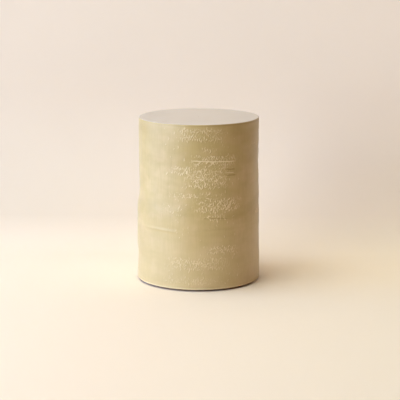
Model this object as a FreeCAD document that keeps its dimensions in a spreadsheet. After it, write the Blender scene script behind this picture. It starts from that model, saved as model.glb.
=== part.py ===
import FreeCAD, Part

import enum
import math
import os

import Sketcher

# A glazed ceramic garden stool: a plain hollow drum, built up by hand and fired in one piece.
# Four courses of clay are stacked on a base slab with a vent hole, and a seat slab closes the top.
# Every seam outside is smoothed over; inside, a coil of clay is pressed over each one.
# The drum stands on a low bare foot ring, and the ring stands on four stuck-on felt pads.
#
# Frame: millimetres, +Z up, origin on the floor at the middle of the drum. The front is -Y.

PARTS_FOLDER = "parts"
FULL_TURN = 360
SAME_PLACE = 1e-4

# Each driving dimension: its name, its value in millimetres or degrees, and what it measures.
DRIVING_DIMENSIONS = [
    ("bore_radius", 158.5, "inside radius of the wall, the same all the way up"),
    ("foot_wall", 12.8, "wall thickness where the wall stands on the base slab"),
    ("low_seam_wall", 11.5, "wall thickness at the lowest seam"),
    ("mid_seam_wall", 10.1, "wall thickness at the middle seam"),
    ("high_seam_wall", 7.3, "wall thickness at the highest seam"),
    ("rim_wall", 7.7, "wall thickness under the seat slab"),
    ("foot_course_height", 153.5, "first course of the wall, from the base slab to the lowest seam"),
    ("belly_course_height", 55.5, "second course, which swells a little"),
    ("waist_course_height", 135.0, "third course, which is drawn in a little"),
    ("rim_course_height", 89.5, "fourth course, up to the seat slab"),
    ("foot_course_bow", 0.3, "how far the first course is drawn in"),
    ("belly_course_bow", 0.6, "how far the second course swells out of line"),
    ("waist_course_bow", 1.0, "how far the third course is drawn in"),
    ("rim_course_bow", 0.15, "how far the fourth course swells out of line"),
    ("lap_depth", 8.0, "height of the stepped lap at each seam"),
    ("lap_width", 3.5, "thickness of the inner half of each lap"),
    ("slip_gap", 0.3, "film of slip between upright faces that are luted together"),
    ("seat_thickness", 10.5, "seat slab over the wall"),
    ("seat_spigot", 3.0, "depth of the step that centres the seat slab in the wall"),
    ("seat_edge_round", 2.5, "rounding of the seat's edge"),
    ("base_thickness", 8.5, "base slab under the wall"),
    ("base_step", 3.0, "height of the step that centres the wall on the base slab"),
    ("base_edge_round", 2.5, "rounding of the base slab's lower edge"),
    ("vent_radius", 45.0, "hole in the base slab that lets air and water out"),
    ("foot_inset", 10.0, "how far the foot ring stands in from the base slab's edge"),
    ("foot_ring_width", 16.0, "width of the foot ring"),
    ("foot_ring_rise", 2.0, "height of the foot ring"),
    ("foot_ring_round", 0.6, "rounding of the foot ring's lower edges"),
    ("corner_coil_leg", 10.0, "width and height of the coil pressed into a corner"),
    ("corner_coil_hollow", 25.0, "radius of that coil's thumbed face"),
    ("seam_coil_width", 16.0, "height of the coil pressed over a seam"),
    ("seam_coil_rise", 4.0, "how far that coil stands into the drum"),
    ("pad_radius", 7.0, "felt pad"),
    ("pad_thickness", 2.3, "felt pad"),
    ("pad_edge_round", 0.5, "rounding of the felt pad's lower edge"),
    ("pad_start_angle", 45.0, "angle of the first pad from +X, in degrees"),
    ("tape_thickness", 0.2, "adhesive disc between a pad and the foot ring"),
    ("tape_margin", 0.5, "how far the adhesive disc stays inside the pad's edge"),
]

document = FreeCAD.newDocument("garden_stool")
sheet = document.addObject("Spreadsheet::Sheet", "Sizes")
for row, (alias, value, meaning) in enumerate(DRIVING_DIMENSIONS, start=1):
    sheet.set(f"A{row}", alias)
    sheet.set(f"B{row}", str(value))
    sheet.set(f"C{row}", meaning)
    sheet.setAlias(f"B{row}", alias)
document.recompute()


def worked_out(expression):
    """The value of an expression over the sheet's cells."""
    return float(sheet.evalExpression(expression))


def total(*expressions):
    """One expression that adds up others."""
    return " + ".join(expressions)


# Heights above the floor, each built on the one below it.
TAPE_BOTTOM = "Sizes.pad_thickness"
RING_BOTTOM = total(TAPE_BOTTOM, "Sizes.tape_thickness")
BASE_BOTTOM = total(RING_BOTTOM, "Sizes.foot_ring_rise")
WALL_BOTTOM = total(BASE_BOTTOM, "Sizes.base_thickness")
BASE_STEP_TOP = total(WALL_BOTTOM, "Sizes.base_step")
LOW_SEAM = total(WALL_BOTTOM, "Sizes.foot_course_height")
MID_SEAM = total(LOW_SEAM, "Sizes.belly_course_height")
HIGH_SEAM = total(MID_SEAM, "Sizes.waist_course_height")
WALL_TOP = total(HIGH_SEAM, "Sizes.rim_course_height")
SPIGOT_BOTTOM = f"{WALL_TOP} - Sizes.seat_spigot"
SEAT_TOP = total(WALL_TOP, "Sizes.seat_thickness")

# Radii from the drum's axis.
BORE = "Sizes.bore_radius"
FOOT_OUTSIDE = total(BORE, "Sizes.foot_wall")
LOW_SEAM_OUTSIDE = total(BORE, "Sizes.low_seam_wall")
MID_SEAM_OUTSIDE = total(BORE, "Sizes.mid_seam_wall")
HIGH_SEAM_OUTSIDE = total(BORE, "Sizes.high_seam_wall")
RIM_OUTSIDE = total(BORE, "Sizes.rim_wall")
TONGUE = total(BORE, "Sizes.lap_width")
SKIRT = total(TONGUE, "Sizes.slip_gap")
SPIGOT = f"{BORE} - Sizes.slip_gap"
RING_OUTSIDE = f"{FOOT_OUTSIDE} - Sizes.foot_inset"
RING_INSIDE = f"{RING_OUTSIDE} - Sizes.foot_ring_width"
PAD_CIRCLE = f"{RING_OUTSIDE} - Sizes.foot_ring_width / 2"


class End(enum.IntEnum):
    """The two ends of an edge of a profile."""

    START = 1
    FINISH = 2


class Datum(enum.IntEnum):
    """What a profile is measured from."""

    ORIGIN = -1
    UPRIGHT_AXIS = -2


def origin_plane(body, role):
    """One of a body's own origin planes."""
    return next(f for f in body.Origin.OriginFeatures if f.Role == role)


def bowed_radius(start, end, bow):
    """The radius of an arc from start to end that stands out of line by bow at its middle."""
    across = f"({end[0]} - ({start[0]}))"
    upward = f"({end[1]} - ({start[1]}))"
    return f"({across} * {across} + {upward} * {upward}) / (8 * {bow}) + {bow} / 2"


def arc_to_the_right(start, end, radius):
    """An anticlockwise arc from start to end, which bulges to the right of that way."""
    middle = (start + end) / 2
    along = end - start
    left = FreeCAD.Vector(-along.y, along.x, 0).normalize()
    centre = middle + left * math.sqrt(radius ** 2 - along.Length ** 2 / 4)
    first, last = (math.atan2(p.y - centre.y, p.x - centre.x) for p in (start, end))
    circle = Part.Circle(centre, FreeCAD.Vector(0, 0, 1), radius)
    return Part.ArcOfCircle(circle, first, last if last > first else last + 2 * math.pi)


def bind(sketch, constraint, expression):
    """Adds a constraint whose value follows an expression."""
    number = sketch.addConstraint(constraint)
    sketch.setExpression(f"Constraints[{number}]", expression)


def draw_profile(sketch, corners, arcs):
    """Draws a closed profile whose corners and arcs are all bound to the sheet.

    corners: (radius, height) expressions in order round the profile.
    arcs: number of the corner where an arc starts -> (radius expression, side it bulges to).
    """
    points = [FreeCAD.Vector(worked_out(r), worked_out(z), 0) for r, z in corners]
    count = len(points)
    begins, ends = [], []
    for i, start in enumerate(points):
        end = points[(i + 1) % count]
        radius, side = arcs.get(i, (None, None))
        if radius is None:
            sketch.addGeometry(Part.LineSegment(start, end))
        elif side == "right":
            sketch.addGeometry(arc_to_the_right(start, end, worked_out(radius)))
        else:
            sketch.addGeometry(arc_to_the_right(end, start, worked_out(radius)))
        begins.append(End.FINISH if side == "left" else End.START)
        ends.append(End.START if side == "left" else End.FINISH)
    for i in range(count):
        following = (i + 1) % count
        sketch.addConstraint(
            Sketcher.Constraint("Coincident", i, ends[i], following, begins[following])
        )
    for i, point in enumerate(points):
        radius, height = corners[i]
        from_origin = (Datum.ORIGIN, End.START, i, begins[i])
        if radius == "0":
            sketch.addConstraint(Sketcher.Constraint("PointOnObject", i, begins[i], Datum.UPRIGHT_AXIS))
        else:
            bind(sketch, Sketcher.Constraint("DistanceX", *from_origin, point.x), radius)
        bind(sketch, Sketcher.Constraint("DistanceY", *from_origin, point.y), height)
    for i, (radius, side) in arcs.items():
        bind(sketch, Sketcher.Constraint("Radius", i, worked_out(radius)), radius)


def turned_body(label, corners, arcs=None):
    """A body turned all the way round the drum's axis from one closed profile."""
    body = document.addObject("PartDesign::Body", label)
    body.Label = label
    sketch = body.newObject("Sketcher::SketchObject", f"{label}_profile")
    sketch.AttachmentSupport = [(origin_plane(body, "XZ_Plane"), "")]
    sketch.MapMode = "FlatFace"
    draw_profile(sketch, corners, arcs or {})
    turned = body.newObject("PartDesign::Revolution", f"{label}_turned")
    turned.Profile = sketch
    turned.ReferenceAxis = (sketch, ["V_Axis"])
    turned.Angle = FULL_TURN
    body.Tip = turned
    document.recompute()
    return body


def round_edges(body, circles, radius):
    """Rounds the body's circular edges of the given (radius, height) expressions."""
    base = body.Tip
    wanted = [(worked_out(r), worked_out(z)) for r, z in circles]
    names = [
        f"Edge{number}"
        for number, edge in enumerate(base.Shape.Edges, start=1)
        if isinstance(edge.Curve, Part.Circle)
        and any(
            math.isclose(edge.Curve.Radius, r, abs_tol=SAME_PLACE)
            and math.isclose(edge.Curve.Center.z, z, abs_tol=SAME_PLACE)
            for r, z in wanted
        )
    ]
    fillet = body.newObject("PartDesign::Fillet", f"{body.Label}_round")
    fillet.Base = (base, names)
    fillet.setExpression("Radius", radius)
    body.Tip = fillet
    document.recompute()


# The base slab: the wall stands on its rim, round a low step, and its middle is open.
base_slab = turned_body(
    "base_slab",
    [
        ("Sizes.vent_radius", BASE_BOTTOM),
        (FOOT_OUTSIDE, BASE_BOTTOM),
        (FOOT_OUTSIDE, WALL_BOTTOM),
        (SPIGOT, WALL_BOTTOM),
        (SPIGOT, BASE_STEP_TOP),
        ("Sizes.vent_radius", BASE_STEP_TOP),
    ],
)
round_edges(base_slab, [(FOOT_OUTSIDE, BASE_BOTTOM)], "Sizes.base_edge_round")

# The foot ring: bare clay, set in from the edge, so that a dark line shows under the drum.
foot_ring = turned_body(
    "foot_ring",
    [
        (RING_INSIDE, RING_BOTTOM),
        (RING_OUTSIDE, RING_BOTTOM),
        (RING_OUTSIDE, BASE_BOTTOM),
        (RING_INSIDE, BASE_BOTTOM),
    ],
)
round_edges(
    foot_ring, [(RING_INSIDE, RING_BOTTOM), (RING_OUTSIDE, RING_BOTTOM)], "Sizes.foot_ring_round"
)


def wall_course(label, bottom, top, bow, side, lap_below=True, lap_above=True):
    """One course of the wall. bottom and top are the (radius, height) of its outer face's ends.

    At a seam the outer half of the wall parts low and the inner half parts high, as a stepped lap.
    """
    corners = [bottom, top]
    if lap_above:
        raised = f"{top[1]} + Sizes.lap_depth"
        corners += [(TONGUE, top[1]), (TONGUE, raised), (BORE, raised)]
    else:
        corners += [(BORE, top[1])]
    if lap_below:
        lifted = f"{bottom[1]} + Sizes.lap_depth"
        corners += [(BORE, lifted), (SKIRT, lifted), (SKIRT, bottom[1])]
    else:
        corners += [(BORE, bottom[1])]
    return turned_body(label, corners, {0: (bowed_radius(bottom, top, bow), side)})


# The wall, course by course. The foot and the rim are nearly straight, the belly swells out of
# line and the taller waist above it is drawn in.
foot_end = (FOOT_OUTSIDE, WALL_BOTTOM)
low_seam = (LOW_SEAM_OUTSIDE, LOW_SEAM)
mid_seam = (MID_SEAM_OUTSIDE, MID_SEAM)
high_seam = (HIGH_SEAM_OUTSIDE, HIGH_SEAM)
rim_end = (RIM_OUTSIDE, WALL_TOP)
wall_course("foot_course", foot_end, low_seam, "Sizes.foot_course_bow", "left", lap_below=False)
wall_course("belly_course", low_seam, mid_seam, "Sizes.belly_course_bow", "right")
wall_course("waist_course", mid_seam, high_seam, "Sizes.waist_course_bow", "left")
wall_course("rim_course", high_seam, rim_end, "Sizes.rim_course_bow", "right", lap_above=False)

# The seat slab lies on the wall, and a shallow step under it drops into the bore.
seat_slab = turned_body(
    "seat_slab",
    [
        ("0", SPIGOT_BOTTOM),
        (SPIGOT, SPIGOT_BOTTOM),
        (SPIGOT, WALL_TOP),
        (RIM_OUTSIDE, WALL_TOP),
        (RIM_OUTSIDE, SEAT_TOP),
        ("0", SEAT_TOP),
    ],
)
round_edges(seat_slab, [(RIM_OUTSIDE, SEAT_TOP)], "Sizes.seat_edge_round")


# Inside, coils of clay. One is thumbed into the corner at each slab, and a flatter one covers
# the inner end of each lap.
COIL_INSIDE = f"{BORE} - Sizes.corner_coil_leg"
turned_body(
    "base_corner_coil",
    [
        (COIL_INSIDE, BASE_STEP_TOP),
        (BORE, BASE_STEP_TOP),
        (BORE, f"{BASE_STEP_TOP} + Sizes.corner_coil_leg"),
    ],
    {2: ("Sizes.corner_coil_hollow", "left")},
)
turned_body(
    "seat_corner_coil",
    [
        (COIL_INSIDE, SPIGOT_BOTTOM),
        (BORE, f"{SPIGOT_BOTTOM} - Sizes.corner_coil_leg"),
        (BORE, SPIGOT_BOTTOM),
    ],
    {0: ("Sizes.corner_coil_hollow", "left")},
)


def seam_coil(label, seam):
    """A flat coil pressed on the inside of the wall, over the upper end of a lap."""
    middle = f"{seam} + Sizes.lap_depth"
    lower = (BORE, f"{middle} - Sizes.seam_coil_width / 2")
    upper = (BORE, f"{middle} + Sizes.seam_coil_width / 2")
    face = (bowed_radius(lower, upper, "Sizes.seam_coil_rise"), "right")
    turned_body(label, [lower, upper], {1: face})


for coil_label, seam_height in (
    ("low_seam_coil", LOW_SEAM),
    ("mid_seam_coil", MID_SEAM),
    ("high_seam_coil", HIGH_SEAM),
):
    seam_coil(coil_label, seam_height)

# Four felt pads under the foot ring, each on its own disc of adhesive.
PAD_PLACES = ["back_right", "back_left", "front_left", "front_right"]


def place_on_ring(item, number, height):
    """Moves a round piece to its pad's place under the foot ring."""
    angle = f"Sizes.pad_start_angle + {number} * {FULL_TURN} / {len(PAD_PLACES)}"
    item.setExpression(".Placement.Base.x", f"({PAD_CIRCLE}) * cos({angle})")
    item.setExpression(".Placement.Base.y", f"({PAD_CIRCLE}) * sin({angle})")
    item.setExpression(".Placement.Base.z", height)


for number, place in enumerate(PAD_PLACES):
    pad = turned_body(
        f"floor_pad_{place}",
        [
            ("0", "0"),
            ("Sizes.pad_radius", "0"),
            ("Sizes.pad_radius", "Sizes.pad_thickness"),
            ("0", "Sizes.pad_thickness"),
        ],
    )
    round_edges(pad, [("Sizes.pad_radius", "0")], "Sizes.pad_edge_round")
    place_on_ring(pad, number, "0")
    tape = document.addObject("Part::Cylinder", f"pad_tape_{place}")
    tape.Label = f"pad_tape_{place}"
    tape.setExpression("Radius", "Sizes.pad_radius - Sizes.tape_margin")
    tape.setExpression("Height", "Sizes.tape_thickness")
    place_on_ring(tape, number, TAPE_BOTTOM)

document.recompute()


def is_piece(item):
    """Whether an object of the document is a whole piece of the stool."""
    return item.isDerivedFrom("PartDesign::Body") or item.isDerivedFrom("Part::Cylinder")


faults = [f"{o.Label} is {o.State}" for o in document.Objects if {"Invalid", "Error"} & set(o.State)]
pieces = [o for o in document.Objects if is_piece(o)]
faults += [f"{o.Label} has no valid shape" for o in pieces if o.Shape.isNull() or not o.Shape.isValid()]
if faults:
    raise SystemExit("; ".join(faults))

os.makedirs(PARTS_FOLDER, exist_ok=True)
for piece in pieces:
    piece.Shape.exportStep(os.path.join(PARTS_FOLDER, f"{piece.Label}.step"))
    print(f"{piece.Label}: {len(piece.Shape.Solids)} solid, {piece.Shape.Volume:.1f} mm3")
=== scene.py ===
import math
import random

import bpy
import numpy as np
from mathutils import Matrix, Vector


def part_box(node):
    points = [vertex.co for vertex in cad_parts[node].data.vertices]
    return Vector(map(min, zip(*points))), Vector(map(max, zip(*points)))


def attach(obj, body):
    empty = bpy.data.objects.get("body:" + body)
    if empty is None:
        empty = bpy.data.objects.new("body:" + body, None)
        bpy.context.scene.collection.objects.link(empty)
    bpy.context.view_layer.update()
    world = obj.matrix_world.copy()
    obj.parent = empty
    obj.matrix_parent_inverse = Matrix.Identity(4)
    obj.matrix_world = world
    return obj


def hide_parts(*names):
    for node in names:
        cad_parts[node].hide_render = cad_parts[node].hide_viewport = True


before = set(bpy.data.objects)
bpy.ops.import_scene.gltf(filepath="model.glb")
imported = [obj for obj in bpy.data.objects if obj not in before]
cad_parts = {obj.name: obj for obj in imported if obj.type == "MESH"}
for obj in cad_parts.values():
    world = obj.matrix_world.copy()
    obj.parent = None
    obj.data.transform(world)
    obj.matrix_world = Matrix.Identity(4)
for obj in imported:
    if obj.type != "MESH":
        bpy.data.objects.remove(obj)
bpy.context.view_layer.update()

# BASE SLAB. A disc of rolled clay with a hand-sized hole in its middle, where air and water leave the
# drum. The glaze comes down over its rounded edge and was wiped off underneath before firing.
MILLIMETRE = 0.001


def mm(length):
    """Metres from millimetres."""
    return length * MILLIMETRE


def angles_round(count):
    """Even angles round the drum, from the front (-Y) towards the viewer's right (+X)."""
    return np.arange(count) * (2 * math.pi / count)


def ring(radius, height, count):
    """One ring of points about the drum's axis. radius and height may change round the ring."""
    angle = angles_round(count)
    radius = np.broadcast_to(radius, count)
    return np.column_stack([
        radius * np.sin(angle), -radius * np.cos(angle), np.broadcast_to(height, count)
    ])


def faces_between(low, low_count, high, high_count):
    """Faces from one ring to the next, facing outwards. low and high are the rings' first points.

    The rings have as many points, or one has twice as many, or one is the single point on the axis.
    """
    if low_count == 1:
        return [(low, high + (i + 1) % high_count, high + i) for i in range(high_count)]
    if high_count == 1:
        return [(low + i, low + (i + 1) % low_count, high) for i in range(low_count)]
    if low_count == high_count:
        near = np.arange(low_count)
        following = (near + 1) % low_count
        return np.column_stack([near + low, following + low, following + high, near + high]).tolist()
    faces = []
    for i in range(min(low_count, high_count)):
        if low_count > high_count:
            a, b, c = (low + (2 * i + k) % low_count for k in range(3))
            d, e = high + i, high + (i + 1) % high_count
            faces += [(a, b, d), (b, c, e), (b, e, d)]
        else:
            a, b = low + i, low + (i + 1) % low_count
            c, d, e = (high + (2 * i + k) % high_count for k in range(3))
            faces += [(a, b, d), (a, d, c), (b, e, d)]
    return faces


# Faces that meet at a sharper turn than this keep a crisp edge between them.
SHARP_ANGLE = math.radians(38)


def turned_piece(name, rings, materials, closed=True, finish_of_ring=None):
    """A mesh object skinned over rings of points, one after another. closed also joins the last ring to
    the first, and finish_of_ring gives the material of the faces that start at each ring."""
    starts = np.cumsum([0] + [len(r) for r in rings]).tolist()
    faces, finishes = [], []
    for i in range(len(rings) if closed else len(rings) - 1):
        j = (i + 1) % len(rings)
        made = faces_between(starts[i], len(rings[i]), starts[j], len(rings[j]))
        faces += made
        finishes += [finish_of_ring[i] if finish_of_ring else 0] * len(made)
    mesh = bpy.data.meshes.new(name)
    mesh.from_pydata(np.concatenate(rings).tolist(), [], faces)
    for material in materials:
        mesh.materials.append(material)
    mesh.polygons.foreach_set("material_index", finishes)
    mesh.shade_smooth()
    mesh.set_sharp_from_angle(angle=SHARP_ANGLE)
    piece = bpy.data.objects.new(name, mesh)
    bpy.context.scene.collection.objects.link(piece)
    return piece


SAME_LEVEL = mm(0.01)


def outside_of(node, height):
    """How far out a CAD node reaches at a height where it has an edge."""
    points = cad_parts[node].data.vertices
    return max(p.co.xy.length for p in points if abs(p.co.z - height) < SAME_LEVEL)


# The levels where the wall's courses meet, and the drum's radius at each.
WALL_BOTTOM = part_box("foot_course")[0].z
LOW_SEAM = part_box("belly_course")[0].z
MID_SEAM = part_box("waist_course")[0].z
HIGH_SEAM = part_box("rim_course")[0].z
SEAT_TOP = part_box("seat_slab")[1].z
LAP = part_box("foot_course")[1].z - LOW_SEAM
WALL_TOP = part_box("rim_course")[1].z
LEVELS = [WALL_BOTTOM, LOW_SEAM, MID_SEAM, HIGH_SEAM, WALL_TOP]
RADII = [
    outside_of("foot_course", WALL_BOTTOM),
    outside_of("belly_course", LOW_SEAM),
    outside_of("waist_course", MID_SEAM),
    outside_of("rim_course", HIGH_SEAM),
    outside_of("seat_slab", WALL_TOP),
]
# How far each course swells out, or is drawn in, halfway up.
BOWS = [mm(-0.3), mm(0.6), mm(-1.0), mm(0.15)]
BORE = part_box("seat_corner_coil")[1].x

# Hand-built unevenness: how far the wall stands out at the viewer's left, right and front, from level
# to level. The higher the power, the sooner it fades round the drum.
SIDE_POWER = 5
SIDE_LEVELS = [mm(z) for z in (0, 70, 105, 206, 244, 274, 315, 360, 425, 457)]
LEFT_OUT = [mm(x) for x in (0.6, -0.3, 1.7, 1.7, -1.8, -1.0, -0.1, 0.3, -0.3, -0.3)]
RIGHT_OUT = [mm(x) for x in (-0.2, -0.7, -1.1, -1.6, 0.1, 0.5, 0.1, -0.3, 0.3, 0.3)]
FRONT_OUT = [mm(x) for x in (-0.2, -0.3, 0.3, 0.2, -0.2, 0.2, -0.2, 0.3, -0.1, 0.0)]

dice = random.Random(7)
WAVE_COUNT = 26
BAND_COUNT = 12
# Slow hand-made unevenness in waves: the turns of each round the drum, its climb up the wall, its
# start and its share of the full height.
WAVES = [
    (dice.randint(1, 9), dice.uniform(-1, 1) / mm(14), dice.uniform(0, 2 * math.pi), dice.uniform(0.4, 1))
    for _ in range(WAVE_COUNT)
]
# Faint level bands from the scraper. After the same four values come the turns and the start of the
# fading, by which each band comes and goes round the drum.
BANDS = [
    (dice.choice((-1, 0, 0, 1)), dice.uniform(0.09, 0.42) / mm(1), dice.uniform(0, 2 * math.pi),
     dice.uniform(0.3, 1), dice.randint(2, 5), dice.uniform(0, 2 * math.pi))
    for _ in range(BAND_COUNT)
]
WAVE_HEIGHT = mm(0.085)
BAND_HEIGHT = mm(0.05)


def eased(height, levels, values):
    """A value that changes smoothly from level to level."""
    at = np.interp(height, levels, np.arange(len(levels)))
    below = np.minimum(np.floor(at).astype(int), len(levels) - 2)
    share = at - below
    share = share * share * (3 - 2 * share)
    values = np.asarray(values)
    return values[below] * (1 - share) + values[below + 1] * share


def drum_radius(angle, height):
    """The drum's radius at angles and heights, with its hand-built unevenness but without flecks."""
    angle, height = np.broadcast_arrays(angle, np.asarray(height, dtype=float))
    radius = np.interp(height, LEVELS, RADII)
    for low, high, bow in zip(LEVELS, LEVELS[1:], BOWS):
        share = np.clip((height - low) / (high - low), 0, 1)
        radius = radius + 4 * bow * share * (1 - share)
    for values, facing in ((LEFT_OUT, -math.pi / 2), (RIGHT_OUT, math.pi / 2), (FRONT_OUT, 0)):
        fade = np.maximum(0, np.cos(angle - facing)) ** SIDE_POWER
        radius = radius + eased(height, SIDE_LEVELS, values) * fade
    for turns, climb, start, share in WAVES:
        radius = radius + WAVE_HEIGHT * share * np.sin(turns * angle + climb * height + start)
    for turns, climb, start, share, fades, fade_start in BANDS:
        fade = 0.5 + 0.5 * np.sin(fades * angle + fade_start)
        radius = radius + BAND_HEIGHT * share * fade * np.sin(turns * angle + climb * height + start)
    return radius


def new_group(name, inputs, outputs):
    """A shader node group, with its inputs and its outputs as the nodes inside it see them."""
    group = bpy.data.node_groups.new(name, "ShaderNodeTree")
    for label, kind, value in inputs:
        socket = group.interface.new_socket(name=label, in_out="INPUT", socket_type=kind)
        if value is not None:
            socket.default_value = value
    for label, kind in outputs:
        group.interface.new_socket(name=label, in_out="OUTPUT", socket_type=kind)
    return group, group.nodes.new("NodeGroupInput").outputs, group.nodes.new("NodeGroupOutput").inputs


def add_node(tree, kind, values=None, links=None, **settings):
    """A node with its settings, its input values and what is linked to its inputs."""
    node = tree.nodes.new(kind)
    for key, value in settings.items():
        setattr(node, key, value)
    for key, value in (values or {}).items():
        node.inputs[key].default_value = value
    for key, source in (links or {}).items():
        tree.links.new(source, node.inputs[key])
    return node


def stretched(tree, vector, scale):
    """Coordinates scaled along X, Y and Z."""
    return add_node(tree, "ShaderNodeMapping", {"Scale": scale}, {"Vector": vector}).outputs["Vector"]


def noise(tree, vector, scale, detail=3.0, roughness=0.55, distortion=0.0):
    """Soft noise from 0 to 1. scale is its cells to a metre."""
    node = add_node(
        tree, "ShaderNodeTexNoise",
        {"Scale": scale, "Detail": detail, "Roughness": roughness, "Distortion": distortion},
        {"Vector": vector},
    )
    return node.outputs["Fac"]


def remapped(tree, value, low, high, to_low=0.0, to_high=1.0):
    """A value brought from one range to another and held there."""
    node = add_node(
        tree, "ShaderNodeMapRange",
        {"From Min": low, "From Max": high, "To Min": to_low, "To Max": to_high},
        {"Value": value},
    )
    return node.outputs["Result"]


def worked(tree, operation, first, second):
    """One sum worked on two values, each a number or a socket."""
    node = tree.nodes.new("ShaderNodeMath")
    node.operation = operation
    for socket, value in zip(node.inputs, (first, second)):
        if isinstance(value, (int, float)):
            socket.default_value = value
        else:
            tree.links.new(value, socket)
    return node.outputs["Value"]


def blended(tree, share, first, second):
    """A mix of two colours, each a colour or a socket. share may be a number or a socket."""
    node = tree.nodes.new("ShaderNodeMix")
    node.data_type = "RGBA"
    for socket, value in ((node.inputs[0], share), (node.inputs[6], first), (node.inputs[7], second)):
        if isinstance(value, (int, float, tuple)):
            socket.default_value = value
        else:
            tree.links.new(value, socket)
    return node.outputs[2]


def colour(red, green, blue):
    """A linear colour from screen values of 0 to 255."""
    def linear(value):
        value /= 255
        return value / 12.92 if value <= 0.04045 else ((value + 0.055) / 1.055) ** 2.4
    return (linear(red), linear(green), linear(blue), 1.0)


def new_material(name):
    """An empty material with a Principled BSDF, its nodes and the object's own coordinates."""
    material = bpy.data.materials.new(name)
    material.use_nodes = True
    tree = material.node_tree
    place = add_node(tree, "ShaderNodeTexCoord").outputs["Object"]
    return material, tree, tree.nodes["Principled BSDF"].inputs, place


def bumped(tree, height, distance):
    """A normal bent by a height that is given as a share of a distance in metres."""
    node = add_node(tree, "ShaderNodeBump", {"Distance": distance}, {"Height": height})
    return node.outputs["Normal"]


# Bare fired clay: buff brown, clouded darker, with specks of dark grog and a fine grit. The noises here
# and below are cut off at the first two numbers and brought between the last two.
grit_group, grit_in, grit_out = new_group(
    "fired_clay_grit",
    [("Place", "NodeSocketVector", None), ("Clay", "NodeSocketColor", colour(176, 142, 104)),
     ("Grog", "NodeSocketColor", colour(120, 88, 60))],
    [("Color", "NodeSocketColor"), ("Roughness", "NodeSocketFloat"), ("Height", "NodeSocketFloat")],
)
grit_specks = remapped(grit_group, noise(grit_group, grit_in["Place"], 900, 2), 0.58, 0.68)
grit_clouds = noise(grit_group, grit_in["Place"], 28, 5)
grit_fine = noise(grit_group, grit_in["Place"], 2400, 2)
grit_tone = blended(
    grit_group, remapped(grit_group, grit_clouds, 0.3, 0.75, 0.0, 0.45), grit_in["Clay"], grit_in["Grog"]
)
grit_group.links.new(
    blended(grit_group, worked(grit_group, "MULTIPLY", grit_specks, 0.55), grit_tone, grit_in["Grog"]),
    grit_out["Color"],
)
grit_group.links.new(remapped(grit_group, grit_clouds, 0.2, 0.8, 0.78, 0.95), grit_out["Roughness"])
grit_group.links.new(
    worked(grit_group, "ADD", worked(grit_group, "MULTIPLY", grit_fine, 0.6),
           worked(grit_group, "MULTIPLY", grit_specks, 0.4)),
    grit_out["Height"],
)


def use_group(tree, group, links, values=None):
    """Places a shader node group in a material and gives its outputs."""
    node = tree.nodes.new("ShaderNodeGroup")
    node.node_tree = group
    for key, source in links.items():
        tree.links.new(source, node.inputs[key])
    for key, value in (values or {}).items():
        node.inputs[key].default_value = value
    return node.outputs


def fired_clay(name, tones=None):
    """A material of bare fired clay, in the group's own tones or in others."""
    material, tree, shader, place = new_material(name)
    grit = use_group(tree, grit_group, {"Place": place}, tones)
    tree.links.new(grit["Color"], shader["Base Color"])
    tree.links.new(grit["Roughness"], shader["Roughness"])
    tree.links.new(bumped(tree, grit["Height"], mm(0.12)), shader["Normal"])
    return material


bare_clay = fired_clay("bare_fired_stoneware")

# Khaki cream satin glaze: soft clouds and upright runs of tone, paler where it broke over a fleck.
GLAZE = colour(197, 174, 118)
GLAZE_POOLED_AND_SHADE = colour(165, 140, 80)
GLAZE_THIN = colour(211, 184, 138)
GLAZE_FLECK = colour(240, 223, 182)
glaze_group, glaze_in, glaze_out = new_group(
    "satin_glaze",
    [("Place", "NodeSocketVector", None), ("Fleck", "NodeSocketFloat", 0.0),
     ("Patch", "NodeSocketFloat", 0.0)],
    [("Color", "NodeSocketColor"), ("Roughness", "NodeSocketFloat"), ("Height", "NodeSocketFloat")],
)


def glaze_noise(height_scale, scale, detail, distortion=0.0):
    """Noise in the glaze, drawn out up the wall where height_scale is under 1."""
    place = stretched(glaze_group, glaze_in["Place"], (1, 1, height_scale))
    return noise(glaze_group, place, scale, detail, distortion=distortion)


glaze_clouds = glaze_noise(3, 9, 3)
glaze_warmth = glaze_noise(1.4, 19, 2)
glaze_runs = glaze_noise(0.08, 260, 3)
glaze_grain = noise(glaze_group, glaze_in["Place"], 1300, 2)
glaze_beads = glaze_noise(0.6, 560, 2, distortion=0.6)
glaze_tone = GLAZE
# Each layer of tone starts and is full at these values of its noise, and covers this share at most.
for layer, start, full, share, tone in (
    (glaze_clouds, 0.35, 0.7, 0.38, GLAZE_POOLED_AND_SHADE),
    (glaze_warmth, 0.42, 0.72, 0.5, GLAZE_THIN),
    (glaze_runs, 0.45, 0.75, 0.26, GLAZE_POOLED_AND_SHADE),
):
    covered = remapped(glaze_group, layer, start, full, 0.0, share)
    glaze_tone = blended(glaze_group, covered, glaze_tone, tone)
# Glaze pools darker in the scoops beside the flecks, and between the beads of a patch: partly the glaze's
# own pooling, partly painted shade beside each raised mark.
bead_hollows = remapped(glaze_group, glaze_beads, 0.46, 0.34, 0.0, 0.25)
pooled_glaze_and_shade = worked(
    glaze_group, "MAXIMUM", remapped(glaze_group, glaze_in["Fleck"], -0.04, -0.4, 0.0, 0.9),
    worked(glaze_group, "MULTIPLY", glaze_in["Patch"], bead_hollows),
)
glaze_tone = blended(glaze_group, pooled_glaze_and_shade, glaze_tone, GLAZE_POOLED_AND_SHADE)
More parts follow.
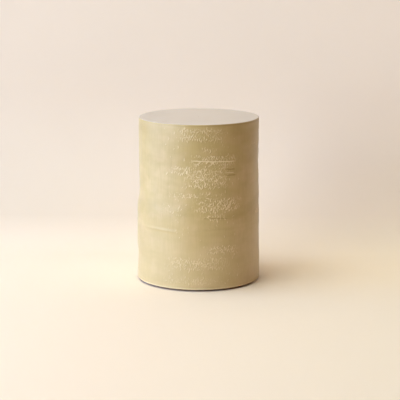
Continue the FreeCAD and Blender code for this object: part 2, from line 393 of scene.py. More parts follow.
# It breaks pale over the flecks and the beads.
glaze_specks = worked(
    glaze_group, "MULTIPLY", glaze_in["Patch"], remapped(glaze_group, glaze_beads, 0.62, 0.72, 0.0, 0.25)
)
glaze_marks = worked(
    glaze_group, "MAXIMUM", remapped(glaze_group, glaze_in["Fleck"], 0.1, 0.65, 0.0, 0.85), glaze_specks
)
glaze_group.links.new(blended(glaze_group, glaze_marks, glaze_tone, GLAZE_FLECK), glaze_out["Color"])
glaze_group.links.new(
    worked(glaze_group, "ADD", remapped(glaze_group, glaze_clouds, 0.3, 0.7, 0.40, 0.50),
           worked(glaze_group, "MULTIPLY", glaze_marks, 0.12)),
    glaze_out["Roughness"],
)
glaze_group.links.new(
    worked(glaze_group, "ADD", worked(glaze_group, "MULTIPLY", glaze_grain, 0.16),
           worked(glaze_group, "ADD", worked(glaze_group, "MULTIPLY", glaze_specks, 0.8),
                  worked(glaze_group, "MULTIPLY", glaze_runs, 0.12))),
    glaze_out["Height"],
)

# The glaze's tone on its lowest course, painted paler as painted bounce light from the floor.
GLAZE_LIT_BY_BOUNCE = colour(218, 197, 154)
# The heights from which the tones change and at which they have changed, and how far these wander.
DARKER_FROM, DARKER_AT = mm(330), mm(470)
PALE_FROM, PALE_AT = mm(240), mm(150)
TONE_WANDER = mm(70)


def painted_bounce_to_the_foot(tree, place, tone):
    """Paints the glaze darker near the top of the drum and paler on its lowest course, as painted light
    from the floor's bounce.
    """
    height = add_node(tree, "ShaderNodeSeparateXYZ", links={0: place}).outputs["Z"]
    edge = worked(tree, "ADD", height, worked(tree, "MULTIPLY", noise(tree, place, 12, 3), TONE_WANDER))
    tone = blended(tree, remapped(tree, edge, DARKER_FROM, DARKER_AT, 0.0, 0.3), tone, GLAZE_POOLED_AND_SHADE)
    return blended(tree, remapped(tree, edge, PALE_FROM, PALE_AT, 0.0, 0.26), tone, GLAZE_LIT_BY_BOUNCE)


def give_melt(shader, ior, weight, roughness):
    """The clear melt over a glaze's colour: how strongly it mirrors, how thick it is and how soft."""
    shader["IOR"].default_value = ior
    shader["Coat Weight"].default_value = weight
    shader["Coat Roughness"].default_value = roughness


base_glaze, tree, shader, place = new_material("glazed_edge_over_bare_base")
glaze = use_group(tree, glaze_group, {"Place": place})
grit = use_group(tree, grit_group, {"Place": place})
# The wiped line wanders a little round the underside. From it upwards the clay is toasted and painted
# darker as the shade of the gap beneath the drum, then the glaze is thin and pale, then full.
BASE_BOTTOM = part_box("base_slab")[0].z
WIPE_WANDER = mm(1.2)
BARE_TO, GLAZED_FROM = BASE_BOTTOM + mm(0.9), BASE_BOTTOM + mm(1.4)
TOASTED_SHADE_TO, UNSHADED_FROM = BASE_BOTTOM + mm(1.2), BASE_BOTTOM + mm(2.6)
THIN_TO, FULL_FROM = BASE_BOTTOM + mm(4.0), BASE_BOTTOM + mm(6.5)
# Toasted clay, painted darker still as the shade in the gap beneath the drum.
TOASTED_SHADE_EDGE = colour(126, 78, 20)
base_height = add_node(tree, "ShaderNodeSeparateXYZ", links={0: place}).outputs["Z"]
wiped_line = worked(
    tree, "ADD", base_height, worked(tree, "MULTIPLY", noise(tree, place, 30, 3), WIPE_WANDER)
)
glazed = remapped(tree, wiped_line, BARE_TO, GLAZED_FROM)
toasted_shade = remapped(tree, wiped_line, UNSHADED_FROM, TOASTED_SHADE_TO)
thinned = remapped(tree, wiped_line, FULL_FROM, THIN_TO, 0.0, 0.6)
edge_tone = blended(tree, thinned, painted_bounce_to_the_foot(tree, place, glaze["Color"]), GLAZE_FLECK)
wiped_edge = blended(tree, glazed, grit["Color"], edge_tone)
tree.links.new(blended(tree, toasted_shade, wiped_edge, TOASTED_SHADE_EDGE), shader["Base Color"])
tree.links.new(
    worked(tree, "ADD", worked(tree, "MULTIPLY", glazed, glaze["Roughness"]),
           worked(tree, "MULTIPLY", worked(tree, "SUBTRACT", 1.0, glazed), grit["Roughness"])),
    shader["Roughness"],
)
tree.links.new(bumped(tree, grit["Height"], mm(0.06)), shader["Normal"])
give_melt(shader, 1.48, 0.5, 0.42)

# How many points stand in a ring of the outside, of the edges between, and of the inside.
AROUND = 1008
AROUND_HALF = AROUND // 2
AROUND_INSIDE = AROUND // 4
ROW = mm(1.65)
CORNER_STEPS = 8


def rows_between(low, high):
    """Heights from low to high, both ends among them, about a row apart."""
    return np.linspace(low, high, max(2, round((high - low) / ROW) + 1))


def rounded_corner(radius_of, level, rounding, start):
    """Rings over the quarter round of an outer corner. radius_of gives the full radius there, and start
    is where the arc begins, in degrees from level outwards."""
    rings = []
    for k in range(CORNER_STEPS + 1):
        bend = math.radians(start + 90 * k / CORNER_STEPS)
        radius = radius_of(angles_round(AROUND)) - rounding * (1 - math.cos(bend))
        rings.append(ring(radius, level + rounding * math.sin(bend), AROUND))
    return rings


BASE_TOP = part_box("base_slab")[1].z
BASE_ROUND = mm(2.5)
VENT_RADIUS = min(p.co.xy.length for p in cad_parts["base_slab"].data.vertices)
VENT_ROUND = mm(2)
# The step stands a little free of the bore, and the face inside it is scraped a little lower.
inside_step = BORE - mm(0.3)
BASE_SCRAPE = mm(0.3)
BASE_DISH = mm(0.15)
# Within this radius a slab's unevenness fades out.
DISH_RADIUS = mm(70)
# The wall's flat ends and the base have one more ring here.
OUTSIDE_BORE = BORE + mm(2)
face_inside = np.linspace(inside_step - mm(4), VENT_RADIUS + VENT_ROUND, 14)
face_below = np.linspace(VENT_RADIUS + mm(8), BORE - mm(12), 12)


def base_edge(angle):
    """The drum's radius at the top of the base slab's rounding."""
    return drum_radius(angle, WALL_BOTTOM)


def dished(radius, count, size):
    """A rolled slab's slow unevenness on its flat faces, which fades out towards the middle."""
    angle = angles_round(count)
    size = size * min(1, (radius / DISH_RADIUS) ** 2)
    return size * (np.sin(3 * angle + 40 * radius) + 0.6 * np.sin(5 * angle - 55 * radius + 1))


base_rings = rounded_corner(base_edge, BASE_BOTTOM + BASE_ROUND, BASE_ROUND, -90)
base_rings += [ring(base_edge(angles_round(AROUND)), z, AROUND)
               for z in rows_between(BASE_BOTTOM + BASE_ROUND, WALL_BOTTOM)[1:]]
base_rings += [ring(inside_step, WALL_BOTTOM, AROUND_HALF), ring(inside_step, BASE_TOP, AROUND_INSIDE)]
for radius in face_inside:
    level = BASE_TOP + dished(radius, AROUND_INSIDE, BASE_DISH) - BASE_SCRAPE
    base_rings.append(ring(radius, level, AROUND_INSIDE))
for bend in np.radians([30, 60, 90]):
    radius = VENT_RADIUS + VENT_ROUND * (1 - math.sin(bend))
    base_rings.append(ring(radius, BASE_TOP - VENT_ROUND * (1 - math.cos(bend)), AROUND_INSIDE))
for bend in np.radians([90, 60, 30, 0]):
    radius = VENT_RADIUS + VENT_ROUND * (1 - math.sin(bend))
    base_rings.append(ring(radius, BASE_BOTTOM + VENT_ROUND * (1 - math.cos(bend)), AROUND_INSIDE))
base_rings += [ring(radius, BASE_BOTTOM, AROUND_INSIDE) for radius in face_below]
base_rings.append(ring(OUTSIDE_BORE, BASE_BOTTOM, AROUND_HALF))
base_slab = turned_piece("stool_base", base_rings, [base_glaze])
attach(base_slab, "root")
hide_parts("base_slab")

# FOOT RING. A low band of clay luted under the base, left bare so that the drum didn't fuse to the
# kiln shelf, toasted darker by the fire, and rubbed flat on a stone afterwards. Its clay is painted darker
# still, as painted shade for the gap beneath the drum.
ring_low, ring_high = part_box("foot_ring")
ring_inside = min(p.co.xy.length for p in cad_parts["foot_ring"].data.vertices)
ring_outside = ring_high.x
RING_ROUND = mm(0.6)
# The band wanders a little, and it is drawn in from the solid's faces by these, below and above.
DRAWN_IN_BELOW, DRAWN_IN_ABOVE = mm(0.5), mm(0.3)
angle = angles_round(AROUND_INSIDE)
wobble = mm(0.25) * (np.sin(4 * angle + 1) + np.sin(7 * angle))
foot_rings = []
for bend in np.radians([0, 30, 60, 90]):
    radius = ring_outside - RING_ROUND * (1 - math.sin(bend)) + wobble - DRAWN_IN_BELOW
    foot_rings.append(ring(radius, ring_low.z + RING_ROUND * (1 - math.cos(bend)), AROUND_INSIDE))
foot_rings.append(ring(ring_outside + wobble - DRAWN_IN_ABOVE, ring_high.z, AROUND_INSIDE))
foot_rings.append(ring(ring_inside + wobble + DRAWN_IN_ABOVE, ring_high.z, AROUND_INSIDE))
for bend in np.radians([90, 60, 30, 0]):
    radius = ring_inside + RING_ROUND * (1 - math.sin(bend)) + wobble + DRAWN_IN_BELOW
    foot_rings.append(ring(radius, ring_low.z + RING_ROUND * (1 - math.cos(bend)), AROUND_INSIDE))
# The ring's clay, toasted and painted darker as the shade in the gap beneath the drum.
TOASTED_SHADE_TONES = {"Clay": colour(134, 86, 40), "Grog": colour(80, 52, 28)}
shaded_foot_clay = fired_clay("toasted_shaded_foot_stoneware", TOASTED_SHADE_TONES)
foot_ring = turned_piece("stool_foot_ring", foot_rings, [shaded_foot_clay])
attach(foot_ring, "root")
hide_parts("foot_ring")

# WALL COURSES. Four thick strips of clay, each lapped over the one below, scraped level outside and
# glazed. Small ticks and beads stand up from the surface in patches, left by the maker's tool.
# The flecks, and the patches that they lie in, are two maps of small cells that wrap round the drum.
FLECK_CELL = mm(0.5)
FLECK_RADIUS = np.mean(RADII)
fleck_columns = round(2 * math.pi * FLECK_RADIUS / FLECK_CELL)
fleck_rows = math.ceil(SEAT_TOP / FLECK_CELL)
fleck_map = np.zeros((fleck_rows, fleck_columns))
patch_map = np.zeros((fleck_rows, fleck_columns))

# Where the marks lie on the side that faces the viewer: from and to in degrees, low and high in mm,
# and how strongly they stand out.
FRONT_PATCHES = [
    (-20, 23, 412, 444, 1), (1, 17, 384, 392, 0.8), (-6, 37, 346, 370, 1), (-25, 32, 320, 339, 0.85),
    (-12, 28, 284, 317, 1), (-29, 24, 257, 271, 0.65), (-3, 42, 222, 250, 1), (-38, -8, 205, 240, 0.17),
    (5, 27, 198, 212, 0.9), (9, 37, 105, 122, 1), (-30, 28, 61, 91, 0.7), (-33, 20, 21, 38, 0.6),
]


def stamp(grid, across, up, reach, shape, lay=np.maximum):
    """Lays a small shape on a grid that wraps round the drum. reach is how far it goes each way."""
    left, right = math.floor((across - reach[0]) / FLECK_CELL), math.ceil((across + reach[0]) / FLECK_CELL)
    bottom, top = math.floor((up - reach[1]) / FLECK_CELL), math.ceil((up + reach[1]) / FLECK_CELL)
    columns = np.arange(left, right + 1)
    rows = np.arange(max(0, bottom), min(fleck_rows - 1, top) + 1)
    if len(rows) == 0:
        return
    x, z = np.meshgrid(columns * FLECK_CELL - across, rows * FLECK_CELL - up)
    cells = np.ix_(rows, columns % fleck_columns)
    grid[cells] = lay(grid[cells], shape(x, z))


def with_more_relief(old, new):
    """Keeps whichever mark is the stronger, raised or scooped."""
    return np.where(np.abs(new) > np.abs(old), new, old)


BURR_WIDTH = mm(1.25)
SCOOP_OFFSET = mm(1.9)
SCOOP_SHARE = 0.55


def tool_mark(across, up, distance_to, reach, height):
    """One mark of the tool: a raised burr, with a shallow scoop beside it at its lower right.
    distance_to gives how far a point is from the mark's line."""
    def shape(x, z):
        burr = np.exp(-(distance_to(x, z) / BURR_WIDTH) ** 2)
        scoop = np.exp(-(distance_to(x - SCOOP_OFFSET, z + SCOOP_OFFSET * 0.5) / BURR_WIDTH) ** 2)
        return height * (burr - SCOOP_SHARE * scoop * (1 - burr))
    reach += SCOOP_OFFSET + 2 * BURR_WIDTH
    stamp(fleck_map, across, up, (reach, reach), shape, with_more_relief)


def dash(across, up, half_length, slant, curl, height):
    """A short stroke, a little bent."""
    def distance_to(x, z):
        along = x * math.sin(slant) + z * math.cos(slant)
        aside = x * math.cos(slant) - z * math.sin(slant) - curl * (along / half_length) ** 2 * half_length
        beyond = np.maximum(0, np.abs(along) - half_length)
        return np.hypot(aside, beyond)
    tool_mark(across, up, distance_to, half_length, height)


# The marks of a patch, in millimetres and degrees: their steps along a row and from row to row, how
# far they stray from the row, half the length of a dash and of a dot, and how they lean and bend.
MARK_STEP, ROW_STEP = (3.2, 7), (5.5, 8.5)
STRAY = 2.6
DASH_HALF, DOT_HALF = (1.4, 4.4), (0.3, 1)
LEAN = 34
CURL = (-0.5, 0.5)
# A mark whose chance is below the first is a dot, and one above the second has a fork.
DOTS_BELOW, FORKS_ABOVE = 0.28, 0.86
FORK_TURN = (35, 70)


def flecked_patch(start, end, low, high, strength):
    """Fills one patch with loose rows of bent dashes, dots and forked marks."""
    across_low, across_high = (math.radians(a) * FLECK_RADIUS for a in (start, end))
    middle, half = (across_low + across_high) / 2, (across_high - across_low) / 2
    centre, half_height = mm(low + high) / 2, mm(high - low) / 2
    stamp(patch_map, middle, centre, (half * 1.3, half_height * 1.6 + mm(4)),
          lambda x, z: np.clip(1.5 - (x / half) ** 4 - (z / (half_height + mm(3))) ** 4, 0, 1))
    up = mm(low) + mm(dice.uniform(1, 4))
    while up < mm(high):
        across = across_low - mm(dice.uniform(0, 14))
        while across < across_high + mm(8):
            kind = dice.random()
            x, z = across, up + mm(dice.gauss(0, STRAY))
            half_length = mm(dice.uniform(*DASH_HALF))
            # The marks thin out and flatten towards the patch's ends.
            inward = 1 - abs((x - middle) / (half * 1.25)) ** 3
            height = dice.uniform(0.4, 1.1) * strength * max(0.15, inward)
            slant = math.radians(dice.gauss(0, LEAN))
            curl = dice.uniform(*CURL)
            if kind < DOTS_BELOW:
                dash(x, z, mm(dice.uniform(*DOT_HALF)), slant, 0, height)
            else:
                dash(x, z, half_length, slant, curl, height)
            if kind > FORKS_ABOVE:
                fork = slant + math.radians(dice.choice((-1, 1)) * dice.uniform(*FORK_TURN))
                fork_x = x + half_length * math.sin(slant) / 2
                dash(fork_x, z + mm(1), half_length * 0.7, fork, -curl, height * 0.8)
            across += mm(dice.uniform(*MARK_STEP)) * (1 if inward > 0.6 else 1.7)
        up += mm(dice.uniform(*ROW_STEP))


# Stray marks also lie between the patches of the front.
STRAY_MARKS = 150
for _ in range(STRAY_MARKS):
    across = math.radians(dice.uniform(-34, 42)) * FLECK_RADIUS
    up = mm(dice.uniform(20, 446))
    half_length = mm(dice.uniform(0.6, 3.5))
    slant = math.radians(dice.gauss(0, 26))
    dash(across, up, half_length, slant, dice.uniform(*CURL), dice.uniform(0.25, 0.65))

# The patches go on round the sides and back, and leave the drum's left front almost smooth.
SMOOTH_FROM = 268
NARROWEST_PATCH = 12
for start, end, low, high, strength in FRONT_PATCHES:
    flecked_patch(start, end, low, high, strength)
    start_next = end + dice.uniform(34, 60)
    last = SMOOTH_FROM - dice.uniform(0, 50)
    while start_next < last - NARROWEST_PATCH:
        spread = dice.uniform(22, 60)
        lift = dice.uniform(-16, 16)
        flecked_patch(start_next, min(start_next + spread, last), low + lift, high + lift, strength)
        start_next += spread + dice.uniform(14, 50)

# The sponged rim of the seat stands a little over the wall, and glaze pooled under it; the crease is also
# painted darker there, as painted shade under the rim.
RIM_CREASE = SEAT_TOP - mm(4.4)
CREASE_WIDTH = mm(1.4)
crease = np.exp(-((np.arange(fleck_rows) * FLECK_CELL - RIM_CREASE) / CREASE_WIDTH) ** 2)
# Its depth, as a share of a fleck's height, changes once round the drum.
crease_depth = 0.34 + 0.22 * np.sin(np.arange(fleck_columns) / fleck_columns * 2 * math.pi - 0.3)
fleck_map = with_more_relief(fleck_map, -np.outer(crease, crease_depth))

# Level scores that the scraper left: from and to in degrees, the height in mm at each end, and how
# far each stands up. A negative one is a groove, and the glaze is painted darker in it as painted shade.
SCORES = [
    (-6, 36, 360.0, 354.6, 1.0), (-25, -9, 336.0, 338.0, 0.45), (27, 36, 334.0, 333.0, -0.8),
    (26, 35, 325.0, 324.0, 0.6), (27, 37, 318.0, 317.0, -0.7), (5, 28, 203.0, 201.0, -0.6),
]
SCORE_WIDTH = mm(1.3)
for start, end, start_height, end_height, height in SCORES:
    middle = math.radians(start + end) / 2 * FLECK_RADIUS
    half_length = math.radians(end - start) / 2 * FLECK_RADIUS
    climb = mm(end_height - start_height) / (2 * half_length)
    stamp(fleck_map, middle, mm(start_height + end_height) / 2, (half_length * 1.1, mm(8)),
          lambda x, z: height * np.exp(-((z - climb * x) / SCORE_WIDTH) ** 2 - (x / half_length) ** 12),
          with_more_relief)


def sampled(grid, angle, height):
    """Reads a grid at angles and heights, between its cells."""
    across = (np.asarray(angle) / (2 * math.pi) * fleck_columns) % fleck_columns
    # Just short of the last row, so that there is always a row above.
    up = np.clip(np.asarray(height) / FLECK_CELL, 0, fleck_rows - 1.001)
    column, row = np.floor(across).astype(int) % fleck_columns, np.floor(up).astype(int)
    beyond = (column + 1) % fleck_columns
    share_x, share_z = across - np.floor(across), up - row
    lower = grid[row, column] * (1 - share_x) + grid[row, beyond] * share_x
    upper = grid[row + 1, column] * (1 - share_x) + grid[row + 1, beyond] * share_x
    return lower * (1 - share_z) + upper * share_z


FLECK_HEIGHT = mm(0.9)
# The slip wiped over each seam: the seam's level, then the half width and the height of its ridge.
SEAM_RIDGES = [(LOW_SEAM, mm(4.0), mm(0.85)), (MID_SEAM, mm(5.0), mm(0.15)), (HIGH_SEAM, mm(3.0), mm(0.15))]


def seam_relief(angle, height):
    """The wiped ridges of slip along the seams, which wander and fade round the drum."""
    relief = np.zeros(np.broadcast(angle, height).shape)
    for number, (level, width, size) in enumerate(SEAM_RIDGES):
        wander = mm(1.8) * np.sin(3 * angle + number) + mm(1.2) * np.sin(7 * angle + 2 * number)
        fade = 0.62 + 0.38 * np.sin(2 * angle + 1.7 * number - 0.6) * np.cos(5 * angle + number)
        off = (height - level - wander) / width
        relief = relief + size * fade * np.exp(-off * off)
    return relief


def skin_radius(angle, height):
    """The drum's radius with its seam ridges and flecks."""
    relief = FLECK_HEIGHT * sampled(fleck_map, angle, height)
    return drum_radius(angle, height) + seam_relief(angle, height) + relief


wall_glaze, tree, shader, place = new_material("flecked_satin_glaze")
glaze = use_group(tree, glaze_group, {
    "Place": place,
    "Fleck": add_node(tree, "ShaderNodeAttribute", attribute_name="fleck").outputs["Fac"],
    "Patch": add_node(tree, "ShaderNodeAttribute", attribute_name="patch").outputs["Fac"],
})
tree.links.new(painted_bounce_to_the_foot(tree, place, glaze["Color"]), shader["Base Color"])
tree.links.new(glaze["Roughness"], shader["Roughness"])
tree.links.new(bumped(tree, glaze["Height"], mm(0.16)), shader["Normal"])
give_melt(shader, 1.48, 0.5, 0.42)
shader["Sheen Weight"].default_value = 0.13
shader["Sheen Roughness"].default_value = 0.5
shader["Sheen Tint"].default_value = (0.72, 0.86, 1.0, 1.0)


def give_attribute(piece, name, grid, count):
    """Stores a grid's values on the first rings of a piece, and nothing on the rest."""
    points = piece.data.vertices
    values = np.zeros(len(points))
    places = np.empty(len(points) * 3)
    points.foreach_get("co", places)
    x, y, z = places.reshape(-1, 3)[:count].T
    values[:count] = sampled(grid, np.arctan2(x, -y), z)
    piece.data.attributes.new(name, "FLOAT", "POINT").data.foreach_set("value", values)


# The radii of a lap's faces: the tongue that stands up inside the next course, and the skirt that comes
# down over it.
TONGUE = BORE + mm(3.5)
SKIRT = BORE + mm(3.8)
BORE_RINGS = 6


def wall_course(node, low, high, lap_below, lap_above):
    """One course: its outside from seam to seam, and the stepped laps and bare bore inside."""
    angle = angles_round(AROUND)
    rings = [ring(skin_radius(angle, z), z, AROUND) for z in rows_between(low, high)]
    outer = len(rings)
    if lap_above:
        rings += [ring(TONGUE, high, AROUND_HALF), ring(TONGUE, high + LAP, AROUND_INSIDE)]
        rings += [ring(BORE, z, AROUND_INSIDE) for z in np.linspace(high + LAP, low + LAP, BORE_RINGS)]
    else:
        rings += [ring(OUTSIDE_BORE, high, AROUND_HALF), ring(BORE, high, AROUND_INSIDE)]
        rings += [ring(BORE, z, AROUND_INSIDE) for z in np.linspace(high, low, BORE_RINGS)[1:-1]]
    if lap_below:
        if not lap_above:
            rings.append(ring(BORE, low + LAP, AROUND_INSIDE))
        rings += [ring(SKIRT, low + LAP, AROUND_INSIDE), ring(SKIRT, low, AROUND_HALF)]
    else:
        rings += [ring(BORE, low, AROUND_INSIDE), ring(OUTSIDE_BORE, low, AROUND_HALF)]
    finishes = [0] * (outer - 1) + [1] * (len(rings) - outer + 1)
    course = turned_piece("stool_" + node, rings, [wall_glaze, bare_clay], finish_of_ring=finishes)
    give_attribute(course, "fleck", fleck_map, outer * AROUND)
    give_attribute(course, "patch", patch_map, outer * AROUND)
    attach(course, "root")
    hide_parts(node)


wall_course("foot_course", WALL_BOTTOM, LOW_SEAM, False, True)
wall_course("belly_course", LOW_SEAM, MID_SEAM, True, True)
wall_course("waist_course", MID_SEAM, HIGH_SEAM, True, True)
wall_course("rim_course", HIGH_SEAM, WALL_TOP, True, False)

# COILS. Ropes of soft clay, pressed by thumb into the drum's two corners and over its three seams on
# the inside. They bind the slabs and the courses together, and were left bare.
# A coil's face runs straight between its edges but for its swell. The corner coils reach in from the
# bore at their slab, come back to a thin lip on the wall, and are a little hollow.
THUMB_MARKS = 54
THUMB_DEPTH = mm(0.5)
COIL_RINGS = 9
SEAM_COIL_SWELL = mm(3.8)
CORNER_COIL_REACH = mm(9.5)
CORNER_COIL_LIP = mm(0.2)
CORNER_COIL_HOLLOW = mm(-0.4)


def thumbed(angle):
    """The shallow dips that thumbs leave side by side along a coil."""
    return THUMB_DEPTH * np.abs(np.sin(THUMB_MARKS / 2 * angle + 0.7 * np.sin(3 * angle)))


def coil(node, low_radius, high_radius, swell):
    """A coil whose face is thumbed. The radii are those of the face's lower and upper edges, and swell
    is how far it stands off the straight line between them."""
    low, high = (corner.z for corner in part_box(node))
    angle = angles_round(AROUND_HALF)
    rings = [ring(BORE, z, AROUND_HALF) for z in (low, high)]
    for share in np.linspace(1, 0, COIL_RINGS):
        face = low_radius + (high_radius - low_radius) * share
        swollen = swell * 4 * share * (1 - share)
        dips = thumbed(angle) * math.sin(math.pi * share)
        rings.append(ring(face - swollen + dips, low + (high - low) * share, AROUND_HALF))
    piece = turned_piece("stool_" + node, rings, [bare_clay])
    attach(piece, "root")
    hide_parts(node)


for node in ("low_seam_coil", "mid_seam_coil", "high_seam_coil"):
    coil(node, BORE, BORE, SEAM_COIL_SWELL)
coil("base_corner_coil", BORE - CORNER_COIL_REACH, BORE - CORNER_COIL_LIP, CORNER_COIL_HOLLOW)
coil("seat_corner_coil", BORE - CORNER_COIL_LIP, BORE - CORNER_COIL_REACH, CORNER_COIL_HOLLOW)

# SEAT SLAB. The flat top, a rolled slab whose step drops into the drum, scraped level and sponged
# round its edge, with the same glaze as the wall but hardly a fleck.
seat_glaze, tree, shader, place = new_material("seat_satin_glaze")
# The flat top is painted paler and greyer over most of its face, as a painted reflection of the pale room
# in the glaze.
SEAT_REFLECTION_TONE = colour(214, 206, 200)
glaze = use_group(tree, glaze_group, {"Place": place})
reflection_share = remapped(tree, noise(tree, place, 7, 2), 0.3, 0.7, 0.86, 0.96)
tree.links.new(blended(tree, reflection_share, glaze["Color"], SEAT_REFLECTION_TONE), shader["Base Color"])
tree.links.new(worked(tree, "ADD", glaze["Roughness"], 0.04), shader["Roughness"])
tree.links.new(bumped(tree, glaze["Height"], mm(0.03)), shader["Normal"])
give_melt(shader, 1.55, 0.15, 0.45)

SEAT_ROUND = mm(2.5)
SEAT_ROUND_LEVEL = SEAT_TOP - SEAT_ROUND
SEAT_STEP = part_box("seat_slab")[0].z
# The flat is scraped a little lower than the rim, over this width.
SEAT_SCRAPE = mm(0.35)
SCRAPE_WIDTH = mm(20)
SEAT_DISH = mm(0.1)
face_below = np.linspace(mm(20), inside_step, 5)
face_above = np.linspace(outside_of("seat_slab", WALL_TOP) - SEAT_ROUND, mm(2), 52)[1:]
# Rings get half as many points where these would stand closer than this, down to the fewest.
CLOSEST_POINTS = mm(0.8)
FEWEST_POINTS = 16
# How many rings of the rounding, from its top, have the seat's own glaze, whose pale painted reflection
# tone makes a painted highlight along the edge.
SEAT_GLAZE_RINGS = 5
angle = angles_round(AROUND)
seat_rings = [np.array([[0.0, 0.0, SEAT_STEP]])]
seat_rings += [ring(radius, SEAT_STEP, AROUND_INSIDE) for radius in face_below]
seat_rings += [ring(inside_step, WALL_TOP, AROUND_HALF)]
first_side = len(seat_rings)
seat_rings += [ring(skin_radius(angle, z), z, AROUND) for z in rows_between(WALL_TOP, SEAT_ROUND_LEVEL)]
seat_rings += rounded_corner(
    lambda a: skin_radius(a, SEAT_ROUND_LEVEL), SEAT_ROUND_LEVEL, SEAT_ROUND, 0
)[1:]
first_flat = len(seat_rings) - SEAT_GLAZE_RINGS
count = AROUND
for radius in face_above:
    while count > FEWEST_POINTS and 2 * math.pi * radius / count < CLOSEST_POINTS:
        count //= 2
    inward = np.clip((BORE - radius) / SCRAPE_WIDTH, 0, 1)
    level = SEAT_TOP - SEAT_SCRAPE * inward + inward * dished(radius, count, SEAT_DISH)
    seat_rings.append(ring(radius, level, count))
seat_rings.append(np.array([[0.0, 0.0, SEAT_TOP - SEAT_SCRAPE]]))
flat_rings = len(seat_rings) - 1 - first_flat
finishes = [2] * first_side + [0] * (first_flat - first_side) + [1] * flat_rings
seat_slab = turned_piece(
    "stool_seat", seat_rings, [wall_glaze, seat_glaze, bare_clay], closed=False, finish_of_ring=finishes
)
give_attribute(seat_slab, "fleck", fleck_map, len(seat_slab.data.vertices))
give_attribute(seat_slab, "patch", patch_map, len(seat_slab.data.vertices))
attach(seat_slab, "root")
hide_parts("seat_slab")

# FELT PADS. Four discs of pressed brown felt that keep the fired clay off a floor. Each is stuck under
# the foot ring by its own disc of adhesive.
felt, tree, shader, place = new_material("pressed_brown_felt")
fibres = noise(tree, place, 1500, 5, 0.7, 1.2)
tree.links.new(
    blended(tree, remapped(tree, fibres, 0.35, 0.68), colour(74, 60, 48), colour(128, 108, 88)),
    shader["Base Color"],
)
tree.links.new(remapped(tree, fibres, 0.2, 0.8, 0.86, 1.0), shader["Roughness"])
tree.links.new(bumped(tree, fibres, mm(0.35)), shader["Normal"])
shader["Sheen Weight"].default_value = 0.35

adhesive, tree, shader, place = new_material("pad_adhesive")
smears = noise(tree, place, 420, 3)
tree.links.new(blended(tree, smears, colour(206, 190, 150), colour(226, 214, 180)), shader["Base Color"])
tree.links.new(remapped(tree, smears, 0.3, 0.7, 0.3, 0.5), shader["Roughness"])
tree.links.new(bumped(tree, smears, mm(0.05)), shader["Normal"])

PAD_POINTS = 96
PAD_FUZZ = mm(0.07)
# A pad's profile from below: its share of the radius, then how far in and how high up, in millimetres.
PAD_PROFILE = [
    (0.5, 0, 0.0), (0.85, 0, 0.0), (1, 0.45, 0.12), (1, 0.1, 0.45), (1, 0, 1.1), (1, 0, 1.8), (1, 0.2, 2.2),
]
PAD_TOP_SHARE = 0.9
for place_name in ("back_right", "back_left", "front_left", "front_right"):
    low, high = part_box("floor_pad_" + place_name)
    middle, pad_radius = (low + high) / 2, (high.x - low.x) / 2
    fuzz = PAD_FUZZ * np.array([dice.gauss(0, 1) for _ in range(PAD_POINTS)])
    rings = [np.array([[0.0, 0.0, low.z]])]
    for share, inset, level in PAD_PROFILE:
        rings.append(ring(pad_radius * share - mm(inset) - abs(fuzz), low.z + mm(level), PAD_POINTS))
    rings.append(ring(pad_radius * PAD_TOP_SHARE, high.z, PAD_POINTS))
    rings.append(np.array([[0.0, 0.0, high.z]]))
    rings = [r + np.array([middle.x, middle.y, 0.0]) for r in rings]
    pad = turned_piece("stool_pad_" + place_name, rings, [felt], closed=False)
    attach(pad, "root")
    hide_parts("floor_pad_" + place_name)
    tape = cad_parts["pad_tape_" + place_name]
    tape.data.materials.clear()
    tape.data.materials.append(adhesive)

# FLOOR AND BACKDROP. A pale plastered floor that runs up into a wall behind in one soft bend. The
# wall is seen from the front only, so that it doesn't hide the stool from behind.
FLOOR_HALF = 20.0
BEND_START = 0.28
BEND_RADIUS = 0.42
WALL_HEIGHT = 4.0


def stage_sheet(name, rows, material):
    """A wide sheet that bends up into the wall. rows are (depth, height) from front to back."""
    points = [(x, y, z) for y, z in rows for x in (-FLOOR_HALF, FLOOR_HALF)]
    faces = [(2 * i, 2 * i + 1, 2 * i + 3, 2 * i + 2) for i in range(len(rows) - 1)]
    mesh = bpy.data.meshes.new(name)
    mesh.from_pydata(points, [], faces)
    mesh.materials.append(material)
    mesh.shade_smooth()
    sheet = bpy.data.objects.new(name, mesh)
    bpy.context.scene.collection.objects.link(sheet)


# Between these distances from the stool, in metres, the paint turns to one pale tone.
FAR_TONE = colour(244, 231, 213)
FAR_START, FAR_END = 1.5, 2.3
# The foot of the wall takes the floor's tones, up to this height.
FLOOR_TONE_HEIGHT = 0.07


